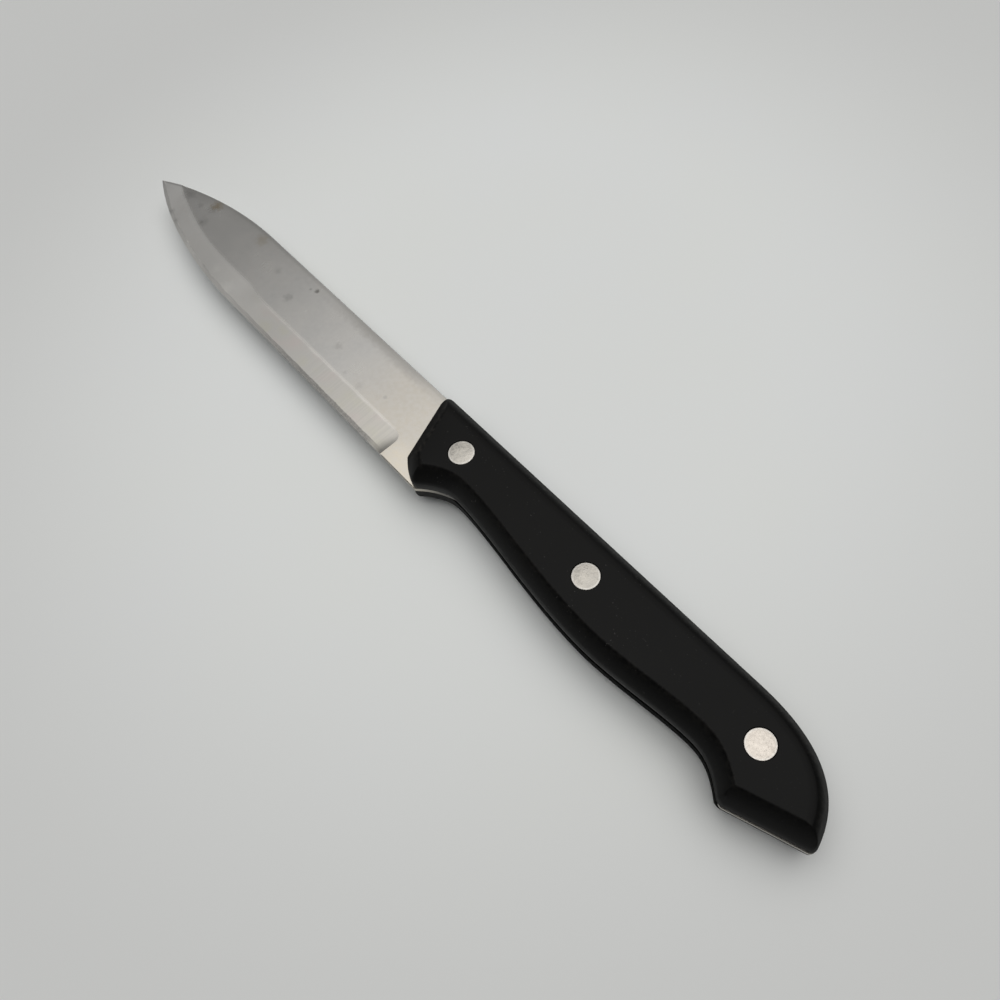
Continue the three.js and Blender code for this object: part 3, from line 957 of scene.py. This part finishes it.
# %% Measures on the steel
OFF_GRIND = -1
PLUNGE_PASSED = (4, 8)

steel = Finish("satin_blade_steel", Metallic=1.0)
grind_map = steel.node("UVMap", {"uv_map": "grind"})
run_along = steel.part(grind_map, "X")
height_up = steel.part(grind_map, "Y")
above_shoulder = steel.part(steel.node("UVMap", {"uv_map": "shoulder"}), "Y")
ground = height_up.rise(0.6 * OFF_GRIND, 0.4 * OFF_GRIND)
past_plunge = run_along.rise(*PLUNGE_PASSED)

spine_edge = front_corner / MM
past_turn = (spine_edge.x + SPINE_TURNS - steel.part(steel.place, "X")).positive()
spine_fall = SPINE_RADIUS - (SPINE_RADIUS ** 2 - past_turn ** 2) ** 0.5
under_spine = spine_edge.y - spine_fall - steel.part(steel.place, "Y")
print("measures:", len(steel.tree.nodes), "nodes")

# %% Patterns of the flat
BRUSH_STRETCH = (1, 30, 1)
STRIP_DEPTHS = (0.9, 3.8)
STRIP_STARTS = (3, 14)
STRIP_FADES = (28, 48)
SPINE_LINE_DEPTHS = (0.5, 1.4)
SPINE_LINE_FADES = (80, 105)
TIP_LINE_DEPTHS = (0.3, 0.9)
TIP_LINE_STARTS = (107, 111)
RICASSO_ENDS = (-3, 3)
RICASSO_DEPTHS = (12, 18)
SEAM_ENDS = (-20, -12)
SEAM_CLEARS = (-100, -90)

clouds = steel.noise(9, detail=4, roughness=0.6)
mottle = steel.noise(1.3, detail=3)
brushing = steel.noise(0.3, stretch=BRUSH_STRETCH)
spine_ragged = under_spine + 1.6 * (mottle - 0.5)
# Painted shade: a darker strip along the spine, and a dark line at its very edge.
spine_shade_strip = 1 - spine_ragged.rise(*STRIP_DEPTHS)
spine_shade_strip = spine_shade_strip * (0.4 + 0.6 * run_along.rise(*STRIP_STARTS))
spine_shade_strip = spine_shade_strip * (1 - 0.8 * run_along.rise(*STRIP_FADES))
spine_shade_line = 1 - under_spine.rise(*SPINE_LINE_DEPTHS)
spine_shade_line = spine_shade_line * (1 - 0.7 * run_along.rise(*SPINE_LINE_FADES))
tip_line = (1 - under_spine.rise(*TIP_LINE_DEPTHS)) * run_along.rise(*TIP_LINE_STARTS)
ricasso = (1 - run_along.rise(*RICASSO_ENDS)) * under_spine.rise(*RICASSO_DEPTHS)
# Painted shade on the tang where it runs into the scales, lighter towards the butt.
tang_seam_shade = (1 - run_along.rise(*SEAM_ENDS)) * (0.3 + 0.7 * run_along.rise(*SEAM_CLEARS))
print("with the flat:", len(steel.tree.nodes), "nodes")

# %% Patterns of the grind
WHEEL_STRETCH = (1, 60, 1)
BANDS_END = (22, 46)
SHEEN_ENDS = (45, 70)
SHOULDER_WIDTHS = (0.1, 0.65)
SHOULDER_STARTS = (2, 5)
SHOULDER_ENDS = (56, 68)
HONE_BORDER = 1.08
HONE_RAGGED = 0.8
HONE_STARTS = (3.5, 6)

wheel_lines = steel.noise(0.16, detail=3, place=grind_map, stretch=WHEEL_STRETCH)
wheel_bands = steel.noise(0.5, detail=3, roughness=0.7, place=grind_map, stretch=WHEEL_STRETCH)
banded = wheel_bands.rise(0.35, 0.7) * (1 - run_along.rise(*BANDS_END))
sheen = steel.noise(8, place=grind_map)
sheen_fades = 1 - run_along.rise(*SHEEN_ENDS)
uneven = steel.noise(5)
wavy = above_shoulder + 0.5 * (uneven - 0.5)
# A painted highlight along the shoulder line.
shoulder_highlight = (1 - abs(wavy).rise(*SHOULDER_WIDTHS)) * (0.6 + 0.4 * uneven.rise(0.35, 0.6))
shoulder_highlight = shoulder_highlight * run_along.rise(*SHOULDER_STARTS)
shoulder_highlight = shoulder_highlight * (1 - run_along.rise(*SHOULDER_ENDS))
ragged = steel.noise(1.1, detail=4, roughness=0.65, place=grind_map) - 0.5
over_border = height_up - (HONE_BORDER + HONE_RAGGED * ragged)
honed = ground * (1 - over_border.rise(-0.1, 0.1)) * run_along.rise(*HONE_STARTS)
speckle = steel.noise(0.45, place=grind_map).rise(0.3, 0.7)
print("with the grind:", len(steel.tree.nodes), "nodes")

# %% Stains
STAIN_SOFT = 0.9
STAIN_RAGGED = 2.0
STAIN_HEIGHT = front_corner.z / MM + STEEL / 2
SMUDGES = [
    (0.75, -55.7, 1.8, 1.1), (0.5, -65.3, 5.1, 0.8), (0.55, -33.1, 1.7, 0.9),
    (0.35, -19.6, -1.8, 0.9), (0.4, -25.5, -1.9, 0.45), (0.7, -12.4, 0.6, 0.4),
    (0.6, -108.8, 3.6, 1.6), (0.5, -102.4, 3.4, 0.7), (0.5, -98.2, 4.9, 1.2),
    (0.5, -96.3, 0.4, 1.2), (0.6, -107.6, -3.8, 0.9), (0.5, -103.3, -4.7, 0.7),
]
SPECKS = [(1, -51.7, 8.4, 0.5), (0.5, -53.6, 7.6, 0.3), (0.4, -96.6, 0.2, 0.4)]
RUSTY_SPOTS = [(1, -98.4, 6.6, 1.4), (0.5, -77.8, 8.3, 1.5)]
RUBBED_SPOTS = [(1, -71.4, -8.2, 1.6), (0.7, -79.0, -6.2, 1.2)]


def stain(strength, along, across, size):
    """A spot with a ragged border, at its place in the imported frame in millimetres."""
    spot = (along, across, STAIN_HEIGHT)
    gap = steel.vector("DISTANCE", steel.place, {1: spot}, out="Value")
    ragged = gap + STAIN_RAGGED * (steel.noise(size * 0.7, detail=1) - 0.5) * size
    return strength * (1 - ragged.rise(size * (1 - STAIN_SOFT), size * (1 + STAIN_SOFT)))


def stains(spots):
    return sum(stain(*spot) for spot in spots)


print("stains:", sum(len(spots) for spots in (SMUDGES, SPECKS, RUSTY_SPOTS, RUBBED_SPOTS)))

# %% Tones of the flat
def along_blade(tone, *stages):
    """Changes a tone along the blade, each stage given as where it starts and ends and its own tone."""
    for start, end, reached in stages:
        tone = steel.colour(run_along.rise(start, end), tone, reached)
    return tone


cloudy = clouds.rise(0.3, 0.7)
near_handle = steel.colour(cloudy, grey(0.395, 0.115), grey(0.42, 0.135))
mid_blade = steel.colour(cloudy, grey(0.40, 0.03), grey(0.425, 0.045))
flat = steel.layers(
    along_blade(near_handle, (6, 28, mid_blade), (76, 106, grey(0.505, 0.04))),
    (ricasso, 0.7, grey(0.49, 0.18)),
    (mottle.rise(0.3, 0.7), 0.35, grey(0.45, 0.04)),
    # painted shade along the spine
    (spine_shade_strip, 0.9, grey(0.30, 0.06)),
    (spine_shade_line, 0.35, grey(0.24, 0.04)),
)
print("with the flat's tones:", len(steel.tree.nodes), "nodes")

# %% Tones of the bevel and the edge
PINKISH = (0.475, 0.428, 0.412, 1)
STRAW = (0.458, 0.445, 0.385, 1)

# The bevel's tone is painted brighter towards the tip, standing in for its reflection.
bevel = along_blade(
    grey(0.44, 0.085),
    (8, 36, grey(0.44, 0.05)),
    (46, 70, grey(0.54, 0.04)),
    (78, 104, grey(0.76, 0.04)),
    (102, 114, grey(0.97, 0.04)),
)
bevel = steel.layers(
    bevel,
    (clouds.rise(0.35, 0.75), 0.25, grey(0.46, 0.07)),
    (sheen.rise(0.5, 0.65) * sheen_fades, 0.6, PINKISH),
    ((1 - sheen.rise(0.35, 0.5)) * sheen_fades, 0.6, STRAW),
    (banded, 0.5, grey(0.36, 0.06)),
)
# The hone's tone goes from dark by the handle to bright at the tip: a painted reflection.
edge_tone = along_blade(grey(0.22, 0.05), (26, 82, grey(0.68, 0.05)), (76, 90, grey(0.96, 0.05)))
edge_tone = steel.layers(edge_tone, (speckle, 0.35, grey(0.62, 0.06)))
print("with the bevel's tones:", len(steel.tree.nodes), "nodes")

# %% Steel
SHOULDER_SOFT = 0.8
SHOULDER_SLOPE = 0.068
RELIEF = 0.004
LINES_SOFTEN = (20, 45)
RUST = (0.30, 0.25, 0.17, 1)

over_shoulder = 1 - above_shoulder.rise(-SHOULDER_SOFT, SHOULDER_SOFT)
bevelled = ground + (over_shoulder - ground) * past_plunge
bare = steel.layers(
    steel.colour(bevelled, flat, bevel),
    # painted highlight along the shoulder
    (shoulder_highlight, 0.5, grey(0.58, 0.06)),
    (honed, 0.85, edge_tone),
    (tip_line, 0.6, grey(0.5, 0.04)),
    # painted shade on the tang in the seam
    (tang_seam_shade, 0.8, grey(0.06, 0.05)),
    (stains(RUBBED_SPOTS), 0.4, grey(0.66, 0.05)),
    (stains(SMUDGES), 0.65, grey(0.25, 0.04)),
    (stains(RUSTY_SPOTS), 0.7, RUST),
    (stains(SPECKS), 0.8, grey(0.09, 0.1)),
)
steel.feed("Base Color", bare)
steel.feed("Roughness", 0.21 + 0.08 * clouds + 0.02 * brushing + 0.06 * honed + 0.04 * ground)
cut_lines = wheel_lines * ground * (1.1 - run_along.rise(*LINES_SOFTEN))
relief = 0.04 * brushing * (1 - ground) + cut_lines
near_shoulder = (SHOULDER_SOFT - abs(above_shoulder)).positive()
rounding = near_shoulder ** 2 * (SHOULDER_SLOPE / (4 * SHOULDER_SOFT) / RELIEF) * past_plunge
steel.feed("Normal", steel.bump(relief - rounding, RELIEF))
print("steel:", len(steel.tree.nodes), "nodes")

# %% Map the grind and finish the blade
edge_line = sorted((point.x, point.y) for point in edge_curve)
edge_x, edge_y = np.array(edge_line).T


def height_over_shoulder(point):
    return point.y - np.interp(point.x, edge_x, edge_y) - grind_height(point.x)


grind_uv = half_blade.loops.layers.uv.new("grind")
shoulder_uv = half_blade.loops.layers.uv.new("shoulder")
for face in half_blade.faces:
    for loop in face.loops:
        length = -loop.vert.co.x
        loop[grind_uv].uv = (length, loop.vert[height_of] if face[is_ground] else OFF_GRIND)
        loop[shoulder_uv].uv = (length, height_over_shoulder(loop.vert.co))
for edge in half_blade.edges:
    sides = {face[is_ground] for face in edge.link_faces}
    rows = {vert[row_of] for vert in edge.verts}
    if len(sides) > 1 or (sides == {1} and rows == {HONE_ROW}):
        edge.smooth = False
finish_piece(half_blade, "ground_blade", "blade", steel)

# %% [markdown]
# ## The rivet metal
# The rivets are aluminium, flattened flush with the scales and then worn. Their faces are satin, warm and
# mottled with fine grain and small dents.

# %% Rivet metal
RIM_RING = (2.5, 2.7)
BUTT_SIDE = (70, 95)
BRIGHT_RIVET = (0.78, 0.70, 0.63, 1)
DENT_DEPTH = 0.02

aluminium = Finish("mottled_rivet_aluminium", Metallic=1.0)
from_axis = aluminium.part(aluminium.node("UVMap", {"uv_map": "turned"}), "X")
grain = aluminium.noise(0.5, detail=3, roughness=0.65).rise(0.3, 0.7)
blotches = aluminium.noise(1.6, detail=3).rise(0.3, 0.7)
pits = aluminium.noise(0.3).rise(0.66, 0.74)
towards_butt = aluminium.part(aluminium.place, "X").rise(*BUTT_SIDE)
head_tone = aluminium.layers(
    aluminium.colour(blotches * 0.3 + grain * 0.7, grey(0.33, 0.09), grey(0.57, 0.11)),
    # The rivet nearest the butt is painted brighter: a painted reflection of the light.
    (towards_butt, 0.45, BRIGHT_RIVET),
    # painted highlight on the rim of each head
    (from_axis.rise(*RIM_RING), 0.5, grey(0.62, 0.06)),
    (pits, 0.4, grey(0.22, 0.1)),
)
aluminium.feed("Base Color", head_tone)
aluminium.feed("Roughness", 0.36 + 0.18 * grain)
aluminium.feed("Normal", aluminium.bump(grain + 0.5 * blotches - 0.6 * pits, DENT_DEPTH))
print("aluminium:", len(aluminium.tree.nodes), "nodes")

# %% [markdown]
# ## The rivets
# Each compression rivet is two turned halves: a post with a head in the upper scale, pressed into a hollow
# socket with a head in the lower one. A turned part is a profile spun round its axis, so that is how each
# half is made. The head's rim is bevelled a little, and a lighter ring is painted on it as a highlight.

# %% Profiles of the rivets
POST_RADIUS = 1.3
POST_FIT = 0.05
SOCKET_FLOOR = 1.0
END_GAP = 0.4

head_top = FACE - HEAD_RECESS
head_seat = FACE - SEAT_DEPTH
bore_floor = -head_seat + SOCKET_FLOOR
post_profile = [
    (0, head_top),
    (HEAD_RADIUS, head_top),
    (HEAD_RADIUS, head_seat),
    (POST_RADIUS, head_seat),
    (POST_RADIUS, bore_floor + END_GAP),
    (0, bore_floor + END_GAP),
]
socket_profile = [
    (0, -head_top),
    (HEAD_RADIUS, -head_top),
    (HEAD_RADIUS, -head_seat),
    (SHANK_RADIUS, -head_seat),
    (SHANK_RADIUS, head_seat - END_GAP),
    (POST_RADIUS + POST_FIT, head_seat - END_GAP),
    (POST_RADIUS + POST_FIT, bore_floor),
    (0, bore_floor),
]
print("post", round(head_seat - bore_floor - END_GAP, 2), "mm long under its head")

# %% Turn the rivets
HEAD_EDGE = 0.14
HEAD_EDGE_STEPS = 3


def on_head_rim(vert):
    return vert.co.xy.length > HEAD_RADIUS - MERGE and abs(vert.co.z) > head_top - MERGE


def turned(profile, centre):
    """Spins a profile of radius and height into a solid and softens the rim of its head."""
    bm = bmesh.new()
    draw(bm, [(radius, 0, height) for radius, height in profile], closed=False)
    bmesh.ops.spin(
        bm, geom=bm.verts[:] + bm.edges[:], cent=(0, 0, 0), axis=(0, 0, 1), angle=math.tau,
        steps=ROUND_STEPS, use_merge=True,
    )
    bmesh.ops.remove_doubles(bm, verts=bm.verts, dist=MERGE)
    bmesh.ops.recalc_face_normals(bm, faces=bm.faces)
    head_rim = [edge for edge in bm.edges if all(on_head_rim(vert) for vert in edge.verts)]
    bmesh.ops.bevel(
        bm, geom=head_rim, offset=HEAD_EDGE, affect="EDGES", segments=HEAD_EDGE_STEPS, profile=0.5,
        material=-1, clamp_overlap=True,
    )
    turned_uv = bm.loops.layers.uv.new("turned")
    for face in bm.faces:
        for loop in face.loops:
            loop[turned_uv].uv = (loop.vert.co.xy.length, loop.vert.co.z)
    bmesh.ops.translate(bm, vec=Vector((*centre, 0)), verts=bm.verts)
    return bm


for place, centre in RIVETS.items():
    for half, profile in (("post", post_profile), ("socket", socket_profile)):
        solid = turned(profile, centre)
        finish_piece(solid, f"turned_{place}_{half}", f"{place}_rivet_{half}", aluminium)
